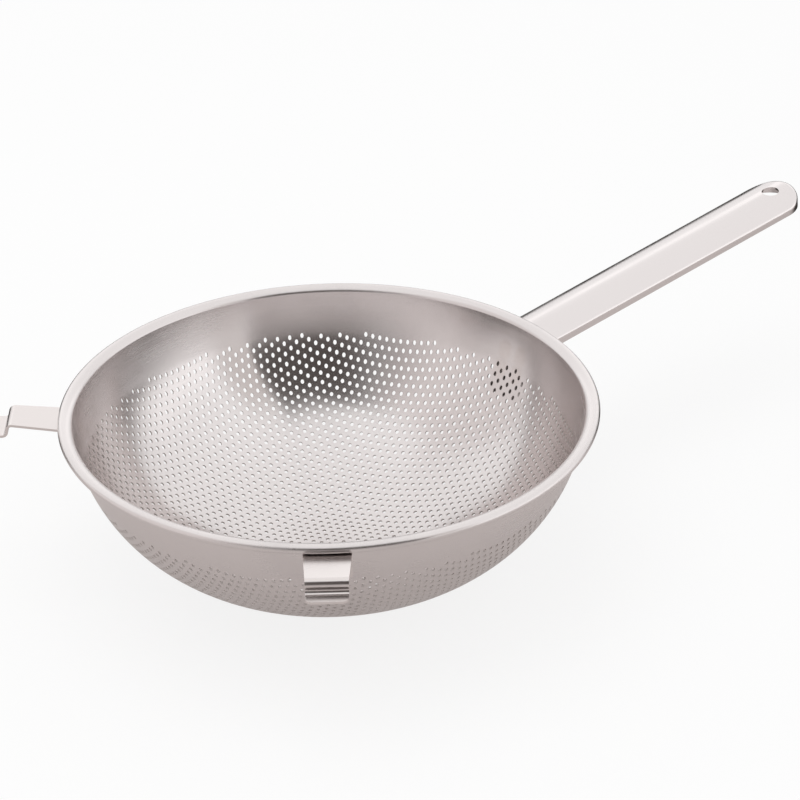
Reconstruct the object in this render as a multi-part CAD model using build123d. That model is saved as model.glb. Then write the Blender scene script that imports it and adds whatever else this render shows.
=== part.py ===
from build123d import *
import math
import os

# Bowl-shaped strainer with a long handle and two pot hooks, all of stainless sheet.
# Millimetres, +Z up. The origin is the middle of the base's underside, on the bowl's axis,
# and the handle points along +X.

# Bowl: one drawn sheet, with a flat base, a wide floor arc and a tighter side arc
sheet = 0.8                  # bowl sheet thickness
bowl_radius = 120.4          # outside of the wall where the rim's fold starts
floor_radius = 150.8         # outside radius of the floor arc, which sets how deep the bowl is
base_flat_radius = 30.0      # flat that the bowl stands on
base_blend_radius = 40.0     # outside radius of the bend between flat and floor
side_join_angle = 33.0       # slope where the floor arc meets the side arc, degrees
wall_lean_angle = 83.7       # slope of the wall at the fold, degrees

# Rim: the wall folds outward, lies flat and is rolled round a wire
fold_radius = 1.8            # back of the fold
rim_flat = 2.4               # flat on top of the rim
roll_radius = 1.9            # outside radius of the roll
hem_gap = 0.5                # between the rolled edge and the wall
wire_clearance = 0.1         # round the wire, all round

# Openings: a coarse staggered grid that leaves the same share of the sheet as 2 mm holes 4 mm apart
opening_diameter = 12.2
opening_pitch = 23.0
opening_field_radius = 124.5  # radius of the punched field in the flat blank
opening_row_angle = 2.3      # turn of the rows against the handle, degrees
draw_stretch_share = 0.088   # how much longer the drawing makes the sheet out to the field's edge

# Handle: a pressed channel, open underneath, with a round end and a tongue on the wall
handle_sheet = 1.2
handle_length = 188.7        # from the rim's outer edge to the end
handle_root_width = 29.3     # at the rim's outer edge
handle_end_width = 31.2
handle_depth = 8.0           # crest to skirt edge
handle_crown_radius = 30.8   # arch across the handle's top
handle_edge_radius = 2.4     # outside bend between top and skirt
handle_rise_angle = 5.8      # degrees above level
handle_drop = 4.7            # crest below the rim's top, at the rim's outer edge
hang_hole_diameter = 9.0
hang_hole_inset = 13.5       # hole centre to the handle's end
tongue_width = 22.0
tongue_length = 24.0         # down the wall, from the skirt's level
tongue_corner_radius = 4.0

# Hooks: a strip bent four ways, which hangs the bowl on a pot's rim
hook_sheet = 1.2
hook_root_width = 21.2
hook_tip_width = 18.7
hook_reach = 24.0            # from the rim's outer edge to the step's face
hook_rise_angle = 6.8        # degrees above level
hook_drop = 6.0              # top of the step to top of the lip
hook_lip = 7.0               # lip beyond the step's face
hook_bend_radius = 1.8       # inside of each bend
hook_tab_height = 14.0       # tab on the wall
hook_corner_radius = 3.0
hook_middle_angle = 185.0    # middle of the two hooks, from the handle, degrees
hook_spread_angle = 90.0     # between the two hooks, degrees

# Fits
seat_gap = 0.3               # between two sheets that are spot welded together
spot_diameter = 5.0
spot_spacing = 11.0          # across a tongue or tab
spot_row_spacing = 10.0      # down the tongue
overrun = 1.0                # every cut runs past its surface by this


def slope(angle):
    """Outward direction of the bowl's skin where its slope is angle degrees, in the XZ plane."""
    return Vector(math.sin(math.radians(angle)), 0, -math.cos(math.radians(angle)))


def along(angle):
    """Uphill direction of the bowl's skin where its slope is angle degrees, in the XZ plane."""
    return Vector(math.cos(math.radians(angle)), 0, math.sin(math.radians(angle)))


# Centres of the bowl's arcs, worked out so that each arc runs into the next
side_radius = (bowl_radius - floor_radius * math.sin(math.radians(side_join_angle))) / (
    math.sin(math.radians(wall_lean_angle)) - math.sin(math.radians(side_join_angle)))
blend_angle = math.degrees(math.asin(base_flat_radius / (floor_radius - base_blend_radius)))
blend_centre = Vector(base_flat_radius, 0, base_blend_radius)
floor_centre = blend_centre - slope(blend_angle) * (floor_radius - base_blend_radius)
side_centre = floor_centre + slope(side_join_angle) * (floor_radius - side_radius)
wall_top = side_centre + slope(wall_lean_angle) * side_radius
bowl_arcs = [
    (blend_centre, base_blend_radius, 0, blend_angle),
    (floor_centre, floor_radius, blend_angle, side_join_angle),
    (side_centre, side_radius, side_join_angle, wall_lean_angle),
]
fold_centre = wall_top + slope(wall_lean_angle) * fold_radius
rim_top = fold_centre.Z + fold_radius + sheet
roll_centre = Vector(fold_centre.X + rim_flat, 0, rim_top - roll_radius)
rim_radius = roll_centre.X + roll_radius
rim_bottom = rim_top - 2 * roll_radius


def arc(centre, radius, first, last):
    """Arc about centre, where the slope angles first and last say which stretch."""
    stops = [centre + slope(angle) * radius for angle in (first, (first + last) / 2, last)]
    return ThreePointArc(*stops)


def bowl_skin(offset, last_angle):
    """The bowl's lower outline from the axis up to last_angle, grown outward by offset."""
    flat_end = blend_centre + slope(0) * (base_blend_radius + offset)
    return [
        Line(Vector(0, 0, flat_end.Z), flat_end),
        arc(blend_centre, base_blend_radius + offset, 0, blend_angle),
        arc(floor_centre, floor_radius + offset, blend_angle, side_join_angle),
        arc(side_centre, side_radius + offset, side_join_angle, last_angle),
    ]


def turned(edges):
    """Solid of revolution about the bowl's axis from a closed outline in the XZ plane."""
    return revolve(make_face(Wire(edges)), Axis.Z, 360)


def skin_place(distance):
    """Point of the outer skin, in the XZ plane, at a distance along it from the axis, and its slope."""
    left = distance - base_flat_radius
    if left < 0:
        return Vector(distance, 0, 0), 0
    for centre, radius, first, last in bowl_arcs:
        angle = first + math.degrees(left / radius)
        if angle <= last:
            break
        left -= math.radians(last - first) * radius
    return centre + slope(angle) * radius, angle


def opening_places():
    """Radius in the blank and turn of each opening, staggered about the bowl's axis, in degrees."""
    reach = math.ceil(opening_field_radius / opening_pitch)
    edge = opening_field_radius - opening_diameter / 2
    places = []
    for row in range(-reach, reach + 1):
        for column in range(-2 * reach, 2 * reach + 1):
            across = (column + row / 2) * opening_pitch
            up = row * math.sin(math.radians(60)) * opening_pitch
            if math.hypot(across, up) <= edge:
                turn = math.degrees(math.atan2(up, across)) + opening_row_angle
                places.append((math.hypot(across, up), turn))
    return places


def opening_bars():
    """Round bars that cut the openings, square to the drawn skin."""
    bars = []
    for blank_radius, turn in opening_places():
        stretch = 1 + draw_stretch_share * (blank_radius / opening_field_radius) ** 2
        place, angle = skin_place(blank_radius * stretch)
        outside = Plane(origin=place + slope(angle) * overrun, z_dir=-slope(angle))
        bar = outside * extrude(Circle(opening_diameter / 2), sheet + 2 * overrun)
        bars.append(Rot(0, 0, turn) * bar)
    return bars


def rim_edges():
    """Both sides of the rim, from the wall's outside over the hem to the wall's inside."""
    hem_end = wall_top.X + hem_gap
    lean = wall_lean_angle
    back = arc(fold_centre, -fold_radius, lean, 0)
    inner_roll = arc(roll_centre, sheet - roll_radius, 0, -180)
    outer_roll = arc(roll_centre, -roll_radius, -180, 0)
    hem_top = Vector(hem_end, 0, rim_bottom + sheet)
    hem_low = Vector(hem_end, 0, rim_bottom)
    front = arc(fold_centre, -fold_radius - sheet, 0, lean)
    return [
        back,
        Line(back @ 1, inner_roll @ 0),
        inner_roll,
        Line(inner_roll @ 1, hem_top),
        Line(hem_top, hem_low),
        Line(hem_low, outer_roll @ 0),
        outer_roll,
        Line(outer_roll @ 1, front @ 0),
        front,
    ]


def bowl():
    """Bowl sheet with its openings and its rolled rim."""
    outside = bowl_skin(0, wall_lean_angle)
    inside = bowl_skin(-sheet, wall_lean_angle)
    axis_line = Line(Vector(0, 0, sheet), Vector(0, 0, 0))
    return turned(outside + rim_edges() + inside + [axis_line]) - opening_bars()


def bowl_plug(offset):
    """Everything inside the bowl's outer skin grown by offset, up to the rim's top."""
    skin = bowl_skin(offset, wall_lean_angle)
    top = Vector((skin[-1] @ 1).X, 0, rim_top)
    centre_top = Vector(0, 0, rim_top)
    edges = skin + [Line(skin[-1] @ 1, top), Line(top, centre_top), Line(centre_top, skin[0] @ 0)]
    return turned(edges)


def rim_wire():
    """Round wire inside the roll."""
    radius = roll_radius - sheet - wire_clearance
    section = Plane(origin=roll_centre, z_dir=(0, 1, 0)) * Circle(radius)
    return revolve(section, Axis.Z, 360)


# The handle's own frame: its origin is on the crest at the rim's outer edge, x runs to the end
handle_frame = Plane(
    origin=(rim_radius, 0, rim_top - handle_drop),
    x_dir=along(handle_rise_angle),
    z_dir=-slope(handle_rise_angle),
)


def crown(inset):
    """Long round bar whose top is the arch across the handle, its skin moved inward by inset."""
    tail = -handle_depth - tongue_length
    return Plane(origin=(tail, 0, -handle_crown_radius), z_dir=(1, 0, 0)) * extrude(
        Circle(handle_crown_radius - inset), handle_length - tail + overrun)


def handle_body(inset, depth):
    """Handle as a full body, its skin moved inward by inset, down to depth under the crest."""
    middle = handle_length - handle_end_width / 2
    radius = handle_end_width / 2 - inset
    taper = math.asin(handle_end_width / 2 / math.hypot(handle_root_width / 2, middle))
    taper = taper - math.atan2(handle_root_width / 2, middle)
    tangent = Vector(middle - radius * math.sin(taper), radius * math.cos(taper))
    tail = Vector(-2 * (rim_radius - wall_top.X), 0)
    tail.Y = tangent.Y + (tail.X - tangent.X) * math.tan(taper)
    plan = make_face(Wire([
        Line((tail.X, -tail.Y), (tangent.X, -tangent.Y)),
        ThreePointArc((tangent.X, -tangent.Y), (middle + radius, 0), (tangent.X, tangent.Y)),
        Line((tangent.X, tangent.Y), (tail.X, tail.Y)),
        Line((tail.X, tail.Y), (tail.X, -tail.Y)),
    ]))
    body = Plane.XY.offset(-depth) * extrude(plan, depth + overrun) & crown(inset)
    top = body.faces().filter_by(GeomType.CYLINDER).sort_by(SortBy.AREA)[-1]
    rear = body.faces().sort_by(Axis.X)[0].edges()
    return fillet([e for e in top.edges() if e not in rear], handle_edge_radius - inset)


def handle():
    """Pressed channel with its hang hole, and the tongue that lies on the bowl's wall."""
    shell = handle_body(0, handle_depth) - handle_body(handle_sheet, handle_depth + overrun)
    hole = Pos(handle_length - hang_hole_inset, 0, -handle_depth) * extrude(
        Circle(hang_hole_diameter / 2), handle_depth + overrun)
    tall = 2 * (handle_depth + tongue_length)
    block = Plane.YZ * Pos(0, rim_top - handle_drop) * extrude(
        RectangleRounded(tongue_width, tall, tongue_corner_radius), rim_radius)
    block = block & bowl_plug(seat_gap + handle_sheet) & handle_frame * crown(handle_sheet / 2)
    return handle_frame * (shell - hole) + block - bowl_plug(seat_gap)


def spots(places, room):
    """Weld spots: short round plugs that fill room, the gap between two welded sheets."""
    plugs = []
    for place, direction in places:
        plug = Plane(origin=place - direction * sheet, z_dir=direction) * extrude(
            Circle(spot_diameter / 2), 2 * sheet)
        plugs.append(plug & room)
    return Compound(plugs)


def handle_spot_places():
    """Two rows of two spots on the tongue."""
    places = []
    for row in (0, 1):
        distance = handle_depth + spot_diameter + row * spot_row_spacing
        angle = wall_lean_angle - math.degrees(distance / side_radius)
        wall = side_centre + slope(angle) * (side_radius + seat_gap / 2)
        places += [(wall + Vector(0, side * spot_spacing / 2, 0), slope(angle)) for side in (-1, 1)]
    return places


# Slope of a hook's flat tab, which touches down at its middle
tab_angle = wall_lean_angle - math.degrees(
    (rim_top - rim_bottom + hook_tab_height / 2) / side_radius)
tab_middle = side_centre + slope(tab_angle) * (side_radius + seat_gap)


def hook_line():
    """Corner points of the hook strip's upper side, in the XZ plane."""
    uphill = along(tab_angle)
    plate_start = Vector(roll_centre.X, 0, rim_bottom - seat_gap)
    outward = along(hook_rise_angle)
    span = plate_start - tab_middle
    run = (span.X * outward.Z - span.Z * outward.X) / (uphill.X * outward.Z - uphill.Z * outward.X)
    corner = tab_middle + uphill * run
    step_x = rim_radius + hook_reach
    step_top = plate_start + outward * ((step_x - plate_start.X) / outward.X)
    step_low = step_top - Vector(0, 0, hook_drop)
    tip = step_low + Vector(hook_lip, 0, 0)
    return [tab_middle - uphill * (hook_tab_height / 2), corner, step_top, step_low, tip]


def hook():
    """One pot hook, pointing along +X: tab on the wall, rising plate, step down and lip."""
    points = hook_line()
    outer = hook_bend_radius + hook_sheet
    upper = FilletPolyline(*points, radius=[outer, outer, hook_bend_radius])
    outline = offset(upper, -hook_sheet, side=Side.RIGHT, closed=True)
    strip = extrude(make_face(outline), hook_root_width, dir=(0, 1, 0), both=True)
    root = hook_root_width / 2
    tip = hook_tip_width / 2
    start = points[0].X - hook_root_width
    plan = Polyline((start, -root), (rim_radius, -root), (rim_radius + hook_reach, -tip),
                    (points[-1].X, -tip), (points[-1].X, tip), (rim_radius + hook_reach, tip),
                    (rim_radius, root), (start, root), close=True)
    blank = extrude(make_face(plan), rim_top + hook_reach)
    corners = blank.edges().filter_by(Axis.Z).group_by(Axis.X)[-1]
    blank = fillet(corners, hook_corner_radius)
    return strip & blank


def hook_spot_places():
    """Two spots side by side on the hook's tab."""
    wall = side_centre + slope(tab_angle) * (side_radius + seat_gap / 2)
    return [(wall + Vector(0, side * spot_spacing / 2, 0), slope(tab_angle)) for side in (-1, 1)]


def hook_gap():
    """The gap between the wall and the plane of a hook's tab."""
    inward = Plane(origin=tab_middle, z_dir=-slope(tab_angle))
    slab = inward * extrude(Rectangle(hook_root_width, hook_root_width), hook_sheet)
    return slab - bowl_plug(0)


os.makedirs("parts", exist_ok=True)
nodes = {
    "bowl_shell": bowl(),
    "rim_wire": rim_wire(),
    "handle_channel": handle(),
    "handle_weld_spots": spots(handle_spot_places(), bowl_plug(seat_gap) - bowl_plug(0)),
}
one_hook = hook()
one_hook_spots = spots(hook_spot_places(), hook_gap())
for side, sign in (("left", -1), ("right", 1)):
    turn = Rot(0, 0, hook_middle_angle + sign * hook_spread_angle / 2)
    nodes["pot_hook_" + side] = turn * one_hook
    nodes["pot_hook_" + side + "_weld_spots"] = turn * one_hook_spots

for name, shape in nodes.items():
    export_step(shape, "parts/" + name + ".step")
print("rim diameter", 2 * rim_radius, "height of the rim", rim_top, "side radius", side_radius)
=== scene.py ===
"""Stainless bowl strainer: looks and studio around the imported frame. All lengths are metres."""

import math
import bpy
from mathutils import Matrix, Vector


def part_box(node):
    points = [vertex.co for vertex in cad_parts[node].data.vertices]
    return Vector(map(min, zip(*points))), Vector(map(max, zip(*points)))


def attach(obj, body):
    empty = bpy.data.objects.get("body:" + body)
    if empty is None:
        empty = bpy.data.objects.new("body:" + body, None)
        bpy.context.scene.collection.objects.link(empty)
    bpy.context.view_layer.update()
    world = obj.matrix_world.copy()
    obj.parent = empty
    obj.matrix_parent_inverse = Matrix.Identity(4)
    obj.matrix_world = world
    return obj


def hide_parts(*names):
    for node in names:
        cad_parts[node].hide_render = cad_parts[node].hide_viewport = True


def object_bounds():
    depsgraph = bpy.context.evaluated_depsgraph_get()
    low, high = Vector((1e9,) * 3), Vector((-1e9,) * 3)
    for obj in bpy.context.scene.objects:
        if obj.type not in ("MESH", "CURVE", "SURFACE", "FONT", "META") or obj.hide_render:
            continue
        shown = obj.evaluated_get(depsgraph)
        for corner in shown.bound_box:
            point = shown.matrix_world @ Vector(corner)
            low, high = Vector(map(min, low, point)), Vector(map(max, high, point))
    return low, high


bl_info = {
    "name": "Perforated Bowl Strainer",
    "version": (1, 0, 0),
    "blender": (4, 5, 0),
    "location": "3D View > Sidebar > Strainer",
    "description": "Punched and rolled stainless bowl, its handle and hooks, and the studio",
    "category": "Add Mesh",
}

import bpy
import numpy as np
from bpy.props import FloatProperty, FloatVectorProperty, IntProperty, PointerProperty
from mathutils import Matrix, Vector
from mathutils.geometry import delaunay_2d_cdt

MM = 0.001
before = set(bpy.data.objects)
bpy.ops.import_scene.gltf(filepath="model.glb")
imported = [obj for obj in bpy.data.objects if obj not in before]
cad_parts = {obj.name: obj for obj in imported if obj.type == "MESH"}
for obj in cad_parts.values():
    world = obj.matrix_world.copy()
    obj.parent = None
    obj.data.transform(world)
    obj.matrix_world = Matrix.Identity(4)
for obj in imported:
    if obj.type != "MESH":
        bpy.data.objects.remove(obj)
CAD_BOX = [list(corner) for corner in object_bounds()]
RIM_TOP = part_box("bowl_shell")[1][2]

# Bowl: points of each bend of the rim's outline, and rings of the plain wall
FOLD_POINTS, HEM_POINTS, ROLL_POINTS, EDGE_POINTS, WALL_RINGS = 8, 10, 17, 12, 7
STRETCH_POWER = 2.5           # drawing lengthens the sheet little by the base and most at the field's edge
SAME_POINT = 1e-9             # points of the blank's margin that are closer are one

# Surface marks: lengths along x, y and z, or along radius and height where they run round the axis, and
# depth
LATHE_RINGS = (0.7 * MM, 0.7 * MM, 1.0), 0.0003 * MM         # polishing rings round the bowl
TORN_STEEL = (0.3 * MM, 0.3 * MM, 0.3 * MM), 0.008 * MM      # grain of a punched hole's wall
BELT_STROKES = (50 * MM, 0.6 * MM, 0.6 * MM), 0.0015 * MM    # satin strokes along the handle
CROSS_STROKES = (0.6 * MM, 0.6 * MM, 1.0), 0.002 * MM        # satin strokes across the hooks
DIE_LINES = (0.4 * MM, 0.4 * MM, 1.0), 0.004 * MM            # lines that the die leaves along wire
WELD_PITS = (0.6 * MM, 0.6 * MM, 0.6 * MM), 0.01 * MM        # pits of a resistance weld
MARK_DETAIL = 4.0             # layers of finer marks laid over the coarse ones
MARK_FINENESS = 0.65          # share of the last layer's depth that the next one has
GRAIN_TURN = 0.25             # of a full turn, so that the marks' blur lies across the polishing rings
CLOUD_SCALE = 22.0            # one patch of duller polish in about 45 mm
CLOUD_DETAIL = 3.0            # layers of smaller patches laid over those
NOISE_SPAN = {"From_Min": 0.3, "From_Max": 0.7}    # levels that a noise mostly keeps between
CLOUD_LEVELS = 0.8, 1.25      # roughness of the clearest and the dullest patch, times the sheet's
STREAK_LEVELS = 0.92, 1.1     # and of the clearest and the dullest mark
DULL_STEP = 3 * MM            # the wall's duller polish sets in from this far below the holes' end to above

# Welds
WELD_REACH = 0.0045           # less than a weld's width, so that its points make two places
DENT_EDGE = 0.8, 1.3          # a dent rises from its full depth to none between these, times its radius
HEAT_TINT = "B79E86"          # straw colour round a weld
HEAT_REACH = 2.2              # times the dent's radius, where that tint ends
HEAT_SHARE = 0.1              # share of the tint in the colour over the weld

# Studio
SENSOR_WIDTH = 36.0           # of the camera, in millimetres
VIEW_END = 100.0              # farthest that the camera sees
LAMP_PLACE, LAMP_AIM, LAMP_SIDE = (-0.3, 0.2, 1.6), (0.05, 0.0, 0.05), 1.4
FLOOR_HALF = 6.0              # half the floor's side
FLOOR_GLOW = 0.8              # share of the floor's white that no shadow darkens
FLOOR_GREY = "E2DCDA"         # the floor as the steel sees it, where light falls on it
FLOOR_GREY_GLOW = "C4BEBC"    # and where it glows, so that no shadow darkens it
FLOOR_GREY_SHARE = 0.5        # share of that glow
CARD_COLUMNS, CARD_ROWS = 25, 13    # points of a card across and up
# Cards: name, tone, strength, turns from the camera's side to its right, rises, distance, edge fades
CARDS = (
    ("dark_room", "544F4D", 1.0, (-66, 38), (11, 67), 2.2, (0.58, 0.0, 0.08, 0.1)),
    ("table_front", "BAB4B2", 1.0, (-66, 38), (-2, 13), 2.3, (0.5, 0.1, 0.0, 0.15)),
    ("grey_side", "E9E4E3", 1.0, (-125, -20), (0, 66), 2.5, (0.2, 0.2, 0.0, 0.2)),
    ("grey_beside", "D9D4D2", 1.0, (38, 64), (8, 64), 2.35, (0.0, 0.6, 0.15, 0.3)),
    ("white_side", "FFFFFF", 1.22, (48, 122), (-2, 34), 2.4, (0.2, 0.3, 0.0, 0.5)),
    ("dark_behind", "3C3937", 1.0, (108, 252), (-26, 5), 2.0, (0.12, 0.12, 0.15, 0.1)),
    ("white_behind", "FFFFFF", 1.25, (135, 222), (17, 30), 2.4, (0.2, 0.2, 0.3, 0.25)),
)


def linear(hex_colour):
    """sRGB hex colour as linear RGBA."""
    parts = [int(hex_colour[i : i + 2], 16) / 255 for i in (0, 2, 4)]
    return [c / 12.92 if c <= 0.04045 else ((c + 0.055) / 1.055) ** 2.4 for c in parts] + [1.0]


# Sizes and finishes that a user would change


def size(name, text, default):
    """A length property that can't be negative, with its default in millimetres."""
    return FloatProperty(
        name=name, description=text, default=default * MM, min=0.0, unit="LENGTH", precision=5)


def angle(name, text, default):
    """An angle property, with its default in degrees."""
    return FloatProperty(name=name, description=text, default=math.radians(default), unit="ROTATION")


def share(name, text, default):
    """A plain number."""
    return FloatProperty(name=name, description=text, default=default, precision=4)


def colour(name, text, hex_colour):
    """A colour property, with its default as sRGB hex."""
    return FloatVectorProperty(
        name=name, description=text, default=linear(hex_colour), size=4, min=0.0, max=1.0, subtype="COLOR")


class BowlSizes(bpy.types.PropertyGroup):
    """The drawn bowl: a flat, a blend, a floor arc and a side arc, each running into the next."""

    sheet: size("Sheet", "Thickness of the bowl's sheet", 0.8)
    wall_radius: size("Wall radius", "Outside of the wall where the rim's fold starts", 120.4)
    floor_radius: size("Floor arc", "Outside radius of the floor arc", 150.8)
    flat_radius: size("Base flat", "Radius of the flat that the bowl stands on", 30.0)
    blend_radius: size("Base blend", "Outside radius of the bend between flat and floor", 40.0)
    join_angle: angle("Join slope", "Slope where the floor arc meets the side arc", 33.0)
    lean_angle: angle("Wall slope", "Slope of the wall at the fold", 83.7)
    flare_angle: angle("Flare", "How far the polished inside of the wall leans out at the fold", 3.5)
    tongue_lean: angle("Tongue lean", "How far welding the handle's tongue leans the wall out there", 9.0)
    tongue_reach: size("Tongue reach", "Distance over which that lean dies away", 20.0)
    fold_radius: size("Fold", "Radius at the back of the rim's fold", 1.8)
    rim_flat: size("Rim flat", "Flat on top of the rim", 2.35)
    crown: size("Crown", "How far the bend at the rim's inner edge reaches over the flat", 1.6)
    roll_radius: size("Roll", "Outside radius of the rolled edge", 1.9)
    hem_gap: size("Hem gap", "Between the rolled edge and the wall", 0.5)
    columns: IntProperty(
        name="Columns", description="Columns of faces round the plain wall and the rim", default=200, min=60)


class PunchSizes(bpy.types.PropertyGroup):
    """The holes, punched in the flat blank before it is drawn."""

    hole: size("Hole", "Diameter of the punched holes", 2.0)
    pitch: size("Pitch", "Between the centres of neighbouring holes", 4.05)
    field_radius: size("Field", "Radius of the punched field in the blank", 128.3)
    row_angle: angle("Row angle", "Turn of the rows against the handle", 2.3)
    stretch: share("Stretch", "Share by which drawing lengthens the sheet out to the field's edge", 0.0945)
    sides: IntProperty(name="Sides", description="Sides of each hole's outline", default=8, min=6)


class SteelFinish(bpy.types.PropertyGroup):
    """Colours and polish of the stainless steel."""

    bowl_colour: colour("Bowl", "Drawn and polished bowl sheet", "E3DDDC")
    bowl_roughness: share("Bowl roughness", "Of the drawn and polished sheet", 0.17)
    wall_roughness: share("Wall roughness", "Of the plain wall between the holes and the rim", 0.24)
    bowl_grain: share("Bowl grain", "How much more the polishing rings blur across than along them", 0.9)
    # darker than the bowl: the sheared steel's own grey, and painted shade inside the holes
    bore_colour_and_painted_shade: colour("Bores", "Sheared steel inside the punched holes", "D2CCC9")
    bore_roughness: share("Bore roughness", "Of the sheared steel", 0.7)
    handle_colour: colour("Handle", "Satin handle sheet", "E6E0DF")
    handle_roughness: share("Handle roughness", "Of the satin handle sheet", 0.17)
    hook_colour: colour("Hooks", "Satin hook strip", "E4DDDB")
    hook_roughness: share("Hook roughness", "Of the satin hook strip", 0.26)
    weld_colour: colour("Welds", "Spot welds", "A8A29E")
    weld_roughness: share("Weld roughness", "Of the spot welds", 0.4)
    wire_colour: colour("Wire", "Drawn rim wire", "BDB9B6")
    wire_roughness: share("Wire roughness", "Of the drawn wire", 0.35)
    dent_depth: size("Weld dent", "Depth of the electrode's oval mark over a spot weld", 0.015)
    dent_radius: size("Weld dent radius", "Radius of each end of that mark", 2.5)


class StudioSettings(bpy.types.PropertyGroup):
    """Camera and light."""

    view_turn: angle("View turn", "Direction that the camera looks in, from +X", 51.44)
    view_dip: angle("View dip", "How far the line from camera to rim points down", 29.18)
    distance: FloatProperty(
        name="Distance", description="Camera to the middle of the rim", default=1.3316, unit="LENGTH")
    pan: angle("Pan", "Turn of the camera to the right of the rim's middle", 1.43)
    tilt: angle("Tilt", "Turn of the camera above the rim's middle", 0.03)
    roll: angle("Roll", "Turn of the camera about its own line of sight", 2.18)
    lens: share("Lens", "Focal length in millimetres, on a 36 mm wide sensor", 128.34)
    sky: share("Sky", "Strength of the white room as a light", 0.75)
    lamp: share("Lamp", "Watts of the softbox overhead", 6.2)


# Small tools


def settings():
    """The scene's settings of the strainer."""
    return bpy.context.scene.strainer


def add(tree, kind, links=(), **values):
    """Adds a node, sets its properties and sockets by name, and links (socket, other node, its output)."""
    node = tree.nodes.new(kind)
    for name, value in values.items():
        if hasattr(node, name):
            setattr(node, name, value)
        else:
            node.inputs[name.replace("_", " ")].default_value = value
    for socket, other, output in links:
        tree.links.new(other.outputs[output], node.inputs[socket])
    return node


def material(name):
    """New material with an empty node tree."""
    made = bpy.data.materials.new(name)
    made.use_nodes = True
    made.node_tree.nodes.clear()
    return made


def dress(node_name, made):
    """Puts one material on every slot of a CAD node's object."""
    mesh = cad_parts[node_name].data
    mesh.materials.clear()
    mesh.materials.append(made)


def mesh_object(name, points, triangles, normals=None, slots=None):
    """Object at the origin from arrays: points, triangles, a normal for each corner, each face's slot."""
    mesh = bpy.data.meshes.new(name)
    mesh.from_pydata(points, [], triangles)
    mesh.update()
    mesh.shade_smooth()
    if slots is not None:
        mesh.polygons.foreach_set("material_index", slots)
    if normals is not None:
        mesh.normals_split_custom_set(normals)
    made = bpy.data.objects.new(name, mesh)
    bpy.context.scene.collection.objects.link(made)
    return made


# The bowl


class Skin:
    """The bowl's outer skin as a function of the arc distance from the axis."""

    def __init__(self, s):
        sin, cos = math.sin, math.cos
        self.side_radius = (s.wall_radius - s.floor_radius * sin(s.join_angle)) / (
            sin(s.lean_angle) - sin(s.join_angle))
        blend_angle = math.asin(s.flat_radius / (s.floor_radius - s.blend_radius))
        floor_z = s.blend_radius + (s.floor_radius - s.blend_radius) * cos(blend_angle)
        gap = s.floor_radius - self.side_radius
        self.centres = np.array([
            [s.flat_radius, s.blend_radius],
            [0.0, floor_z],
            [gap * sin(s.join_angle), floor_z - gap * cos(s.join_angle)],
        ])
        self.radii = np.array([s.blend_radius, s.floor_radius, self.side_radius])
        self.slopes = np.array([0.0, blend_angle, s.join_angle, s.lean_angle])
        self.starts = s.flat_radius + np.concatenate([[0.0], np.cumsum(self.radii * np.diff(self.slopes))])

    def at(self, distance, inward=0.0):
        """Radius, height and slope at a distance: the flat first, then three arcs in turn.

        A point of an arc is its centre plus its radius times the outward direction, which is
        (sin slope, -cos slope), less inward along that direction."""
        part = np.clip(np.searchsorted(self.starts, distance, side="right") - 1, 0, 2)
        slope = self.slopes[part] + (distance - self.starts[part]) / self.radii[part]
        slope = np.where(distance < self.starts[0], 0.0, slope)
        reach = self.radii[part] - inward
        radius = self.centres[part, 0] + reach * np.sin(slope)
        height = self.centres[part, 1] - reach * np.cos(slope)
        flat = distance < self.starts[0]
        return np.where(flat, distance, radius), np.where(flat, inward, height), slope


def hexagon_cells(p):
    """Staggered cells of the punched field, counted in steps of one pitch along two rows 60 degrees apart.

    Returns the cells inside the field, and the matrix from steps to places in the blank: the two rows'
    directions times the pitch, turned by the row angle. Rows that are 60 degrees apart reach the field's
    edge after at most 2 / sqrt(3) times its radius."""
    reach = math.ceil(p.field_radius / p.pitch * 2 / math.sqrt(3)) + 1
    span = np.arange(-reach, reach + 1)
    steps = np.stack(np.meshgrid(span, span, indexing="ij"), -1).reshape(-1, 2)
    cos, sin = math.cos(p.row_angle), math.sin(p.row_angle)
    rows = p.pitch * np.array([[1.0, 0.0], [0.5, math.sqrt(0.75)]]) @ np.array([[cos, sin], [-sin, cos]])
    return steps[np.hypot(*(steps @ rows).T) <= p.field_radius], rows


def margin_triangles(p, rows, corner_points, border, circle):
    """Triangles between the outermost cells and a circle, as numbers into corner points, then the circle.

    A triangle belongs to the margin when the cell that holds its middle isn't one of the field's."""
    used, ties = np.unique(border, return_inverse=True)
    loose = np.concatenate([corner_points[used], circle])
    ring = len(used) + np.arange(len(circle))
    ties = np.concatenate([ties.reshape(-1, 2), np.stack([ring, np.roll(ring, -1)], -1)])
    found = delaunay_2d_cdt([Vector(q) for q in loose.tolist()], ties.tolist(), [], 0, SAME_POINT)
    faces, origins = found[2], found[3]
    margin = np.array([origin[0] for origin in origins])[np.array(faces)]
    place = loose[margin].mean(axis=1) @ np.linalg.inv(rows)
    around = np.array([[0, 0], [1, 0], [0, 1], [1, -1], [-1, 1], [-1, 0], [0, -1]])
    around = np.round(place).astype(int)[:, None] + around
    gaps = np.linalg.norm((around - place[:, None]) @ rows, axis=-1)
    nearest = around[np.arange(len(around)), gaps.argmin(axis=1)]
    margin = margin[np.hypot(*(nearest @ rows).T) > p.field_radius]
    corners = loose[margin]
    first, second = corners[:, 1] - corners[:, 0], corners[:, 2] - corners[:, 0]
    down = first[:, 0] * second[:, 1] < first[:, 1] * second[:, 0]
    margin[down] = margin[down][:, ::-1]
    return np.concatenate([used, len(corner_points) + np.arange(len(circle))])[margin]


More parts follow.
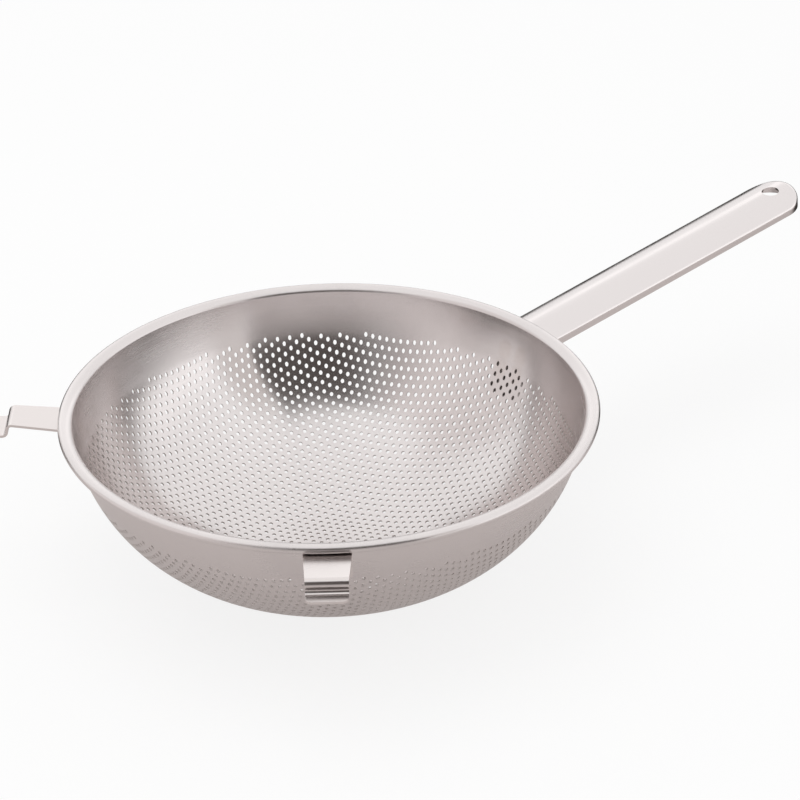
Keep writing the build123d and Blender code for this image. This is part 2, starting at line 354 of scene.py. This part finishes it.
def punched_blank(p, columns):
    """Triangles of the flat punched blank: hexagonal cells, each round its hole, and a plain margin.

    A cell's corners lie a third of the way to the middle of three cells, and are whole numbers when counted
    in thirds of a step, which is how neighbours share them. Each cell side is joined to the hole point that
    faces it, or at a tie the next one round, and each hole side to the corner between.
    Returns the points, the triangles, the hole rings and the number of the margin circle's first point."""
    cells, rows = hexagon_cells(p)
    thirds = np.array([[1, 1], [-1, 2], [-2, 1], [-1, -1], [1, -2], [2, -1]])
    keys, corner = np.unique((cells[:, None] * 3 + thirds).reshape(-1, 2), axis=0, return_inverse=True)
    corner = corner.reshape(-1, 6)
    corner_points = keys / 3 @ rows
    turns = 2 * math.pi * np.arange(p.sides) / p.sides + p.row_angle
    outline = p.hole / 2 * np.stack([np.cos(turns), np.sin(turns)], -1)
    hole_points = ((cells @ rows)[:, None] + outline).reshape(-1, 2)
    turns = 2 * math.pi * np.arange(columns) / columns
    circle = (p.field_radius + p.pitch) * np.stack([np.cos(turns), np.sin(turns)], -1)
    hole = len(corner_points) + len(circle) + np.arange(len(hole_points)).reshape(-1, p.sides)
    facing = np.floor(np.arange(6) * p.sides / 6 + 0.5).astype(int)
    ring = np.arange(p.sides)
    owner = np.searchsorted(facing, ring, side="right") - 1
    cell_sides = np.stack([np.roll(corner, 1, axis=1), corner, hole[:, facing % p.sides]], -1)
    hole_sides = np.stack([np.roll(hole, -1, axis=1), hole, corner[:, owner]], -1)
    edges = np.stack([corner, np.roll(corner, -1, axis=1)], -1).reshape(-1, 2)
    edges, uses = np.unique(np.sort(edges, axis=1), axis=0, return_counts=True)
    margin = margin_triangles(p, rows, corner_points, edges[uses == 1], circle)
    triangles = np.concatenate([cell_sides.reshape(-1, 3), hole_sides.reshape(-1, 3), margin])
    return np.concatenate([corner_points, circle, hole_points]), triangles, hole, len(corner_points)


def arc(centre, radius, start, end, count):
    """Points centre plus radius times (sin a, -cos a) as a runs from start to end, in radians."""
    a = np.linspace(start, end, count)
    return np.stack([centre[0] + radius * np.sin(a), centre[1] - radius * np.cos(a)], -1)


def wall_distances(skin, margin_distance):
    """Distances along the skin of the plain wall's rings, from the margin to the fold."""
    return np.linspace(margin_distance, skin.starts[-1], WALL_RINGS)


def polished_slope(s, skin, distance):
    """Slope of the inside after polishing: the skin's, but even from the axis to the end of the base's bend,
    where the flat runs into the floor with no edge, and less by the flare towards the fold."""
    part = np.clip((distance - skin.starts[2]) / (skin.starts[-1] - skin.starts[2]), 0, 1)
    even = skin.slopes[1] * distance / skin.starts[1]
    return np.where(distance < skin.starts[1], even, skin.at(distance)[2] - s.flare_angle * part ** 2)


def tongue_lean(s, points):
    """Angle by which the welded tongue leans the wall out: the lean times exp(-(distance / reach)^2)."""
    spots = np.mean(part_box("handle_weld_spots"), axis=0)
    return s.tongue_lean * np.exp(-((np.linalg.norm(points - spots, axis=-1) / s.tongue_reach) ** 2))


def rim_profile(s, skin, margin_distance):
    """Outline of wall and rim, from the outer skin at the margin over the hem and down the inner skin.

    Every bend is part of a circle, and the one at the rim's inner edge is then drawn out over the flat."""
    lean = s.lean_angle
    distances = wall_distances(skin, margin_distance)
    outer = np.stack(skin.at(distances)[:2], -1)
    inner = np.stack(skin.at(distances, s.sheet)[:2], -1)
    fold = outer[-1] + s.fold_radius * np.array([math.sin(lean), -math.cos(lean)])
    top = fold[1] + s.fold_radius + s.sheet
    roll = np.array([fold[0] + s.rim_flat, top - s.roll_radius])
    hem = outer[-1, 0] + s.hem_gap
    low = roll[1] - s.roll_radius
    edge = arc(fold, -s.fold_radius - s.sheet, 0.0, lean, EDGE_POINTS)
    width = edge[0, 0] - edge[-1, 0]
    edge[:, 0] = edge[-1, 0] + (edge[:, 0] - edge[-1, 0]) * (width + s.crown) / width
    return np.concatenate([
        outer[:-1],
        arc(fold, -s.fold_radius, lean, 0.0, FOLD_POINTS),
        arc(roll, s.sheet - s.roll_radius, 0.0, -math.pi, HEM_POINTS),
        [[hem, low + s.sheet], [hem, low]],
        arc(roll, -s.roll_radius, -math.pi, 0.0, ROLL_POINTS),
        edge,
        inner[-2::-1],
    ])


def turned(pairs, turns):
    """Each (radius, height) pair at each turn about the axis: (radius cos turn, radius sin turn, height)."""
    radius, height = pairs[..., 0], pairs[..., 1]
    return np.stack([radius * np.cos(turns), radius * np.sin(turns), height + 0 * turns], -1)


def split(a, b, c, d):
    """Two triangles for each four-sided face, as one list of corner triples."""
    return np.concatenate([np.stack([a, b, c], -1).reshape(-1, 3), np.stack([a, c, d], -1).reshape(-1, 3)])


def bowl_arrays(s, p):
    """Points, triangles, corner normals and face slots of the punched bowl.

    A point of the blank at radius b goes to the skin at distance b (1 + stretch (b / field)^power), at the
    same turn, once on the outer skin and once one sheet inward. Each hole side makes a face between the two.
    The wall and the rim are their outline turned about the axis. The inner normals are those of the polished
    inside: see polished_slope and tongue_lean."""
    skin = Skin(s)
    blank, flat_triangles, hole, first = punched_blank(p, s.columns)
    count = len(blank)
    reach, turn = np.hypot(*blank.T), np.arctan2(blank[:, 1], blank[:, 0])
    distance = reach * (1 + p.stretch * (reach / p.field_radius) ** STRETCH_POWER)
    outer_pair = skin.at(distance)
    inner_pair = skin.at(distance, s.sheet)
    outer = turned(np.stack(outer_pair[:2], -1), turn)
    inner = turned(np.stack(inner_pair[:2], -1), turn)
    slope = outer_pair[2]
    outward = turned(np.stack([np.sin(slope), -np.cos(slope)], -1), turn)
    even = polished_slope(s, skin, distance) - tongue_lean(s, outer)
    inward = turned(np.stack([-np.sin(even), np.cos(even)], -1), turn)

    # the holes' walls, which face the middle of their hole
    after = np.roll(hole, -1, axis=1)
    bore = split(hole + count, after + count, after, hole)
    to_axis = outer[hole].mean(axis=1, keepdims=True) - outer[hole]
    bore_normal = np.zeros((2 * count, 3))
    bore_normal[hole] = bore_normal[hole + count] = to_axis / np.linalg.norm(to_axis, axis=-1, keepdims=True)

    # the plain wall, the rim and its hem, from the margin of the outer skin to that of the inner
    outline = rim_profile(s, skin, distance[first])
    turns = 2 * math.pi * np.arange(s.columns) / s.columns
    around = turned(outline[:, None], turns)
    middle = around[1:-1]
    margin = first + np.arange(s.columns)
    new = 2 * count + np.arange(middle[..., 0].size).reshape(-1, s.columns)
    rows = np.concatenate([margin[None], new, count + margin[None]])
    along = np.gradient(outline, axis=0)
    side = np.stack([along[:, 1], -along[:, 0]], -1)
    side /= np.linalg.norm(side, axis=1, keepdims=True)
    ring_normal = turned(side[:, None], turns)
    ring_normal[0] = outward[margin]
    even = polished_slope(s, skin, wall_distances(skin, distance[first])[-2::-1])
    even = even[:, None] - tongue_lean(s, around[-len(even):])
    ring_normal[-len(even):] = turned(np.stack([-np.sin(even), np.cos(even)], -1), turns)
    beside, ring_beside = np.roll(rows, -1, axis=1), np.roll(ring_normal, -1, axis=1)
    ring = split(rows[:-1], beside[:-1], beside[1:], rows[1:])
    corners = (ring_normal[:-1], ring_beside[:-1], ring_beside[1:], ring_normal[1:])
    a, b, c, d = [corner.reshape(-1, 3) for corner in corners]
    ring_corners = np.concatenate([np.stack([a, b, c], 1), np.stack([a, c, d], 1)])

    backs = flat_triangles[:, ::-1]
    triangles = np.concatenate([backs, flat_triangles + count, bore, ring])
    normals = np.concatenate([outward[backs], inward[flat_triangles], bore_normal[bore], ring_corners])
    slots = np.zeros(len(triangles), dtype=np.int32)
    slots[2 * len(backs) : 2 * len(backs) + len(bore)] = 1
    points = np.concatenate([outer, inner, middle.reshape(-1, 3)])
    return points, triangles, normals.reshape(-1, 3), slots


# Steel


def weld_places():
    """Two places in each spot weld, which make its dent oval: the middle of the points that lie within reach
    of its first one, and the middle of the rest."""
    places = []
    for name in ("handle_weld_spots", "pot_hook_left_weld_spots", "pot_hook_right_weld_spots"):
        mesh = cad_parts[name].data
        points = np.empty(len(mesh.vertices) * 3)
        mesh.vertices.foreach_get("co", points)
        points = points.reshape(-1, 3)
        while len(points):
            near = np.linalg.norm(points - points[0], axis=1) < WELD_REACH
            places.append(points[near].mean(axis=0))
            points = points[~near]
    return places


def steel(name, base_colour, roughness, marks, round_axis=False, dents=False, wall=None, grain=0.0):
    """Stainless steel: brush marks as bump, roughness that varies over a few centimetres, and weld marks.

    marks are the brush marks' lengths along x, y and z, or, round the bowl's axis, along the radius and the
    height, where they are closed circles, and then their depth. wall gives the height above which the sheet
    is rougher, and how many times. grain is how much more the marks blur a reflection across than along
    them, where they run round the bowl."""
    made = material(name)
    tree = made.node_tree
    place = add(tree, "ShaderNodeTexCoord")
    where = place, "Object"
    if round_axis:
        parts = add(tree, "ShaderNodeSeparateXYZ", [(0, place, "Object")])
        flat = add(tree, "ShaderNodeCombineXYZ", [("X", parts, "X"), ("Y", parts, "Y")])
        radius = add(tree, "ShaderNodeVectorMath", [(0, flat, 0)], operation="LENGTH")
        where = add(tree, "ShaderNodeCombineXYZ", [("X", radius, "Value"), ("Y", parts, "Z")]), "Vector"
    lengths, depth = marks
    drawn = add(tree, "ShaderNodeMapping", [("Vector", *where)], Scale=[1 / length for length in lengths])
    lines = add(tree, "ShaderNodeTexNoise", [("Vector", drawn, 0)],
                Scale=1.0, Detail=MARK_DETAIL, Roughness=MARK_FINENESS)
    cloud = add(tree, "ShaderNodeTexNoise", [("Vector", place, "Object")],
                Scale=CLOUD_SCALE, Detail=CLOUD_DETAIL)
    level = add(tree, "ShaderNodeMapRange", [("Value", cloud, "Fac")], **NOISE_SPAN,
                To_Min=roughness * CLOUD_LEVELS[0], To_Max=roughness * CLOUD_LEVELS[1])
    streak = add(tree, "ShaderNodeMapRange", [("Value", lines, "Fac")], **NOISE_SPAN,
                 To_Min=STREAK_LEVELS[0], To_Max=STREAK_LEVELS[1])
    polish = add(tree, "ShaderNodeMath", [(0, level, 0), (1, streak, 0)], operation="MULTIPLY")
    if wall:
        height, times = wall
        dull = add(tree, "ShaderNodeMapRange", [("Value", parts, "Z")], interpolation_type="SMOOTHSTEP",
                   From_Min=height - DULL_STEP, From_Max=height + DULL_STEP, To_Min=1.0, To_Max=times)
        polish = add(tree, "ShaderNodeMath", [(0, polish, 0), (1, dull, 0)], operation="MULTIPLY")
    bump = add(tree, "ShaderNodeBump", [("Height", lines, "Fac")], Strength=1.0, Distance=depth)
    shader = add(tree, "ShaderNodeBsdfPrincipled", [("Roughness", polish, 0)],
                 Base_Color=base_colour, Metallic=1.0, Anisotropic=grain, Anisotropic_Rotation=GRAIN_TURN)
    if dents:
        finish = settings().finish
        nearest = None
        for spot in weld_places():
            gap = add(tree, "ShaderNodeVectorMath", [(0, place, "Object")], operation="DISTANCE")
            gap.inputs[1].default_value = spot
            nearest = gap if nearest is None else add(
                tree, "ShaderNodeMath", [(0, nearest, "Value"), (1, gap, "Value")], operation="MINIMUM")
        mark = add(tree, "ShaderNodeMapRange", [("Value", nearest, "Value")],
                   interpolation_type="SMOOTHSTEP", To_Min=-1.0, To_Max=0.0,
                   From_Min=finish.dent_radius * DENT_EDGE[0], From_Max=finish.dent_radius * DENT_EDGE[1])
        bump = add(tree, "ShaderNodeBump", [("Height", mark, 0), ("Normal", bump, 0)],
                   Strength=1.0, Distance=finish.dent_depth)
        heat = add(tree, "ShaderNodeMapRange", [("Value", nearest, "Value")],
                   interpolation_type="SMOOTHSTEP", To_Min=HEAT_SHARE, To_Max=0.0,
                   From_Min=finish.dent_radius, From_Max=finish.dent_radius * HEAT_REACH)
        tint = add(tree, "ShaderNodeMix", [("Factor", heat, 0)], data_type="RGBA")
        plain, heated, mixed = tint.inputs[6], tint.inputs[7], tint.outputs[2]    # its colour sockets
        plain.default_value, heated.default_value = base_colour, linear(HEAT_TINT)
        tree.links.new(mixed, shader.inputs["Base Color"])
    tree.links.new(bump.outputs[0], shader.inputs["Normal"])
    add(tree, "ShaderNodeOutputMaterial", [("Surface", shader, "BSDF")])
    return made


class STRAINER_OT_bowl(bpy.types.Operator):
    """Make the punched, drawn and rolled bowl, in place of the plain CAD shell"""

    bl_idname = "strainer.bowl"
    bl_label = "Bowl"

    def execute(self, context):
        s = settings()
        made = mesh_object("punched_bowl", *bowl_arrays(s.bowl, s.punch))
        finish = s.finish
        last_holes = Skin(s.bowl).at(np.array([s.punch.field_radius * (1 + s.punch.stretch)]))[1][0]
        duller = finish.wall_roughness / finish.bowl_roughness
        # drawn sheet polished on the lathe: clear soft reflections with faint rings, duller above the holes
        made.data.materials.append(steel(
            "polished_stainless_sheet", finish.bowl_colour, finish.bowl_roughness, LATHE_RINGS,
            round_axis=True, dents=True, wall=(last_holes, duller), grain=finish.bowl_grain))
        # sheared edge: dull, and a little darker: partly the sheared steel's own grey, partly painted shade
        # inside the holes, so that the holes read as holes
        made.data.materials.append(steel(
            "sheared_stainless_bore_and_painted_shade", finish.bore_colour_and_painted_shade, finish.bore_roughness, TORN_STEEL))
        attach(made, "root")
        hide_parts("bowl_shell")
        return {"FINISHED"}


class STRAINER_OT_handle(bpy.types.Operator):
    """Finish the pressed handle, its welds and the rim's wire"""

    bl_idname = "strainer.handle"
    bl_label = "Handle"

    def execute(self, context):
        finish = settings().finish
        # satin sheet brushed along the handle: soft streaks that run lengthwise, and dents on the tongue
        dress("handle_channel", steel(
            "lengthwise_brushed_stainless", finish.handle_colour, finish.handle_roughness, BELT_STROKES,
            dents=True))
        # cast look of a resistance weld: dull, grey and pitted
        dress("handle_weld_spots", steel(
            "spot_weld_nugget", finish.weld_colour, finish.weld_roughness, WELD_PITS))
        # drawn wire: satin, with the die's lines along its length
        dress("rim_wire", steel(
            "drawn_stainless_wire", finish.wire_colour, finish.wire_roughness, DIE_LINES, round_axis=True))
        return {"FINISHED"}


class STRAINER_OT_hooks(bpy.types.Operator):
    """Finish the two pot hooks and their welds"""

    bl_idname = "strainer.hooks"
    bl_label = "Pot hooks"

    def execute(self, context):
        finish = settings().finish
        # satin strip, brushed across before it was bent: fine cross lines, and dents on the tab
        satin = steel(
            "satin_stainless_strip", finish.hook_colour, finish.hook_roughness, CROSS_STROKES,
            round_axis=True, dents=True)
        # resistance weld: dull, grey and pitted
        weld = steel("hook_spot_weld_nugget", finish.weld_colour, finish.weld_roughness, WELD_PITS)
        for side in ("left", "right"):
            dress("pot_hook_" + side, satin)
            dress("pot_hook_" + side + "_weld_spots", weld)
        return {"FINISHED"}


# Studio


def direction(turn, rise):
    """Unit vector at a turn about +Z and a rise above level."""
    return Vector((math.cos(rise) * math.cos(turn), math.cos(rise) * math.sin(turn), math.sin(rise)))


def make_camera(s):
    """Camera that looks from its distance at the rim's middle, then pans, tilts and rolls."""
    forward = direction(s.view_turn, -s.view_dip)
    place = Vector((0, 0, RIM_TOP)) - forward * s.distance
    right = Vector((math.sin(s.view_turn), -math.cos(s.view_turn), 0))
    up = right.cross(forward)
    turn = Matrix.Rotation(-s.pan, 3, up)
    forward, right = turn @ forward, turn @ right
    turn = Matrix.Rotation(s.tilt, 3, right)
    forward, up = turn @ forward, turn @ up
    turn = Matrix.Rotation(s.roll, 3, forward)
    right, up = turn @ right, turn @ up
    data = bpy.data.cameras.new("camera")
    data.sensor_width = SENSOR_WIDTH
    data.lens = s.lens
    data.clip_end = VIEW_END
    made = bpy.data.objects.new("camera", data)
    axes = Matrix((right, up, -forward)).transposed().to_4x4()
    made.matrix_world = Matrix.Translation(place) @ axes
    bpy.context.scene.collection.objects.link(made)
    bpy.context.scene.camera = made


def make_softbox(watts):
    """Soft square lamp overhead, turned towards the bowl, which shows in no reflection."""
    data = bpy.data.lights.new("overhead_softbox", "AREA")
    data.size = LAMP_SIDE
    data.energy = watts
    made = bpy.data.objects.new("overhead_softbox", data)
    look = (Vector(LAMP_AIM) - Vector(LAMP_PLACE)).to_track_quat("-Z", "Y")
    made.matrix_world = Matrix.Translation(LAMP_PLACE) @ look.to_matrix().to_4x4()
    made.visible_glossy = False
    bpy.context.scene.collection.objects.link(made)


def card(name, tone, strength, turns, rises, distance, fades):
    """Curved card that only reflections see: a patch of a sphere round the rim's middle.

    A point is the rim's middle plus the distance times the direction at its turn, counted from the camera's
    side towards its right, and its rise. The distance is cut short where the point would be under the floor,
    so that a low card lies on the floor. fades are the shares of the card over which its left, right, lower
    and upper edge thin out."""
    across, upward = np.meshgrid(np.linspace(0, 1, CARD_COLUMNS), np.linspace(0, 1, CARD_ROWS))
    turn = settings().studio.view_turn + math.pi + np.radians(turns[0] + across * (turns[1] - turns[0]))
    rise = np.radians(rises[0] + upward * (rises[1] - rises[0]))
    points = np.stack([np.cos(rise) * np.cos(turn), np.cos(rise) * np.sin(turn), np.sin(rise)], -1)
    points *= np.minimum(distance, (RIM_TOP - MM) / np.maximum(-np.sin(rise), MM))[..., None]
    points = points.reshape(-1, 3) + (0, 0, RIM_TOP)
    number = np.arange(len(points)).reshape(across.shape)
    triangles = split(number[:-1, :-1], number[:-1, 1:], number[1:, 1:], number[1:, :-1])
    made = mesh_object(name, points, triangles)
    layer = made.data.uv_layers.new(name="card")
    layer.data.foreach_set("uv", np.stack([across, upward], -1).reshape(-1, 2)[triangles].ravel())
    surface = material(name)
    tree = surface.node_tree
    place = add(tree, "ShaderNodeTexCoord")
    parts = add(tree, "ShaderNodeSeparateXYZ", [(0, place, "UV")])
    cover = add(tree, "ShaderNodeValue")
    cover.outputs[0].default_value = 1.0
    for axis, edge, fade in (("X", 0, fades[0]), ("X", 1, fades[1]), ("Y", 0, fades[2]), ("Y", 1, fades[3])):
        if fade:
            ramp = add(tree, "ShaderNodeMapRange", [("Value", parts, axis)], interpolation_type="SMOOTHSTEP",
                       From_Min=edge, From_Max=abs(edge - fade), To_Min=0.0, To_Max=1.0)
            cover = add(tree, "ShaderNodeMath", [(0, cover, 0), (1, ramp, 0)], operation="MULTIPLY")
    clear = add(tree, "ShaderNodeBsdfTransparent")
    glow = add(tree, "ShaderNodeEmission", Color=linear(tone), Strength=strength)
    shader = add(tree, "ShaderNodeMixShader", [(0, cover, 0), (1, clear, 0), (2, glow, 0)])
    add(tree, "ShaderNodeOutputMaterial", [("Surface", shader, 0)])
    made.data.materials.append(surface)
    for sight in ("visible_camera", "visible_diffuse", "visible_shadow", "visible_transmission"):
        setattr(made, sight, False)


class STRAINER_OT_studio(bpy.types.Operator):
    """Set the pale floor, the white room, the soft lamp, the cards and the camera"""

    bl_idname = "strainer.studio"
    bl_label = "Studio"

    def execute(self, context):
        s = settings().studio
        context.scene.view_settings.view_transform = "Standard"
        make_camera(s)
        half, low = FLOOR_HALF, CAD_BOX[0][2]
        corners = [(-half, -half, low), (half, -half, low), (half, half, low), (-half, half, low)]
        floor = mesh_object("floor", corners, [(0, 1, 2), (0, 2, 3)])
        # white card, lit until it is nearly white to the camera, and pale grey in the steel
        made = material("matt_white_card")
        tree = made.node_tree
        path = add(tree, "ShaderNodeLightPath")
        seen = add(tree, "ShaderNodeEmission", Color=linear("FFFFFF"))
        lit = add(tree, "ShaderNodeBsdfDiffuse", Color=linear("FFFFFF"))
        bright = add(tree, "ShaderNodeMixShader", [(1, lit, 0), (2, seen, 0)], Fac=FLOOR_GLOW)
        shaded = add(tree, "ShaderNodeBsdfDiffuse", Color=linear(FLOOR_GREY))
        plain = add(tree, "ShaderNodeEmission", Color=linear(FLOOR_GREY_GLOW))
        grey = add(tree, "ShaderNodeMixShader", [(1, shaded, 0), (2, plain, 0)], Fac=FLOOR_GREY_SHARE)
        either = add(tree, "ShaderNodeMixShader", [(0, path, "Is Camera Ray"), (1, grey, 0), (2, bright, 0)])
        add(tree, "ShaderNodeOutputMaterial", [("Surface", either, 0)])
        floor.data.materials.append(made)
        for values in CARDS:
            card(*values)
        world = bpy.data.worlds.new("white_room")
        context.scene.world = world
        world.use_nodes = True
        tree = world.node_tree
        tree.nodes.clear()
        path = add(tree, "ShaderNodeLightPath")
        lit = add(tree, "ShaderNodeBackground", Color=linear("FFFFFF"), Strength=s.sky)
        seen = add(tree, "ShaderNodeBackground", Color=linear("FFFFFF"), Strength=1.0)
        either = add(tree, "ShaderNodeMath", [(0, path, "Is Camera Ray"), (1, path, "Is Glossy Ray")],
                     operation="MAXIMUM")
        any_of = add(tree, "ShaderNodeMath", [(0, either, 0), (1, path, "Is Transmission Ray")],
                     operation="MAXIMUM")
        mixed = add(tree, "ShaderNodeMixShader", [(0, any_of, 0), (1, lit, 0), (2, seen, 0)])
        add(tree, "ShaderNodeOutputWorld", [("Surface", mixed, 0)])
        make_softbox(s.lamp)
        return {"FINISHED"}


class STRAINER_PT_sidebar(bpy.types.Panel):
    """Lists the strainer's pieces and the studio"""

    bl_label = "Strainer"
    bl_idname = "STRAINER_PT_sidebar"
    bl_space_type = "VIEW_3D"
    bl_region_type = "UI"
    bl_category = "Strainer"

    def draw(self, context):
        for step in STEPS:
            self.layout.operator(step.bl_idname)
        strainer = context.scene.strainer
        for group in (strainer.bowl, strainer.punch, strainer.finish, strainer.studio):
            box = self.layout.box()
            for name in group.__annotations__:
                box.prop(group, name)


class StrainerSettings(bpy.types.PropertyGroup):
    """All settings of the strainer."""

    bowl: PointerProperty(type=BowlSizes)
    punch: PointerProperty(type=PunchSizes)
    finish: PointerProperty(type=SteelFinish)
    studio: PointerProperty(type=StudioSettings)


STEPS = (STRAINER_OT_studio, STRAINER_OT_bowl, STRAINER_OT_handle, STRAINER_OT_hooks)
GROUPS = (BowlSizes, PunchSizes, SteelFinish, StudioSettings, StrainerSettings)
CLASSES = GROUPS + STEPS + (STRAINER_PT_sidebar,)


def register():
    """Registers every class, and the settings on the scene."""
    for made in CLASSES:
        bpy.utils.register_class(made)
    bpy.types.Scene.strainer = PointerProperty(type=StrainerSettings)


def unregister():
    """Takes the settings and the classes out again."""
    del bpy.types.Scene.strainer
    for made in reversed(CLASSES):
        bpy.utils.unregister_class(made)


def main():
    """Builds the studio and the strainer."""
    register()
    bpy.ops.strainer.studio()
    bpy.ops.strainer.bowl()
    bpy.ops.strainer.handle()
    bpy.ops.strainer.hooks()


if __name__ == "__main__":
    main()
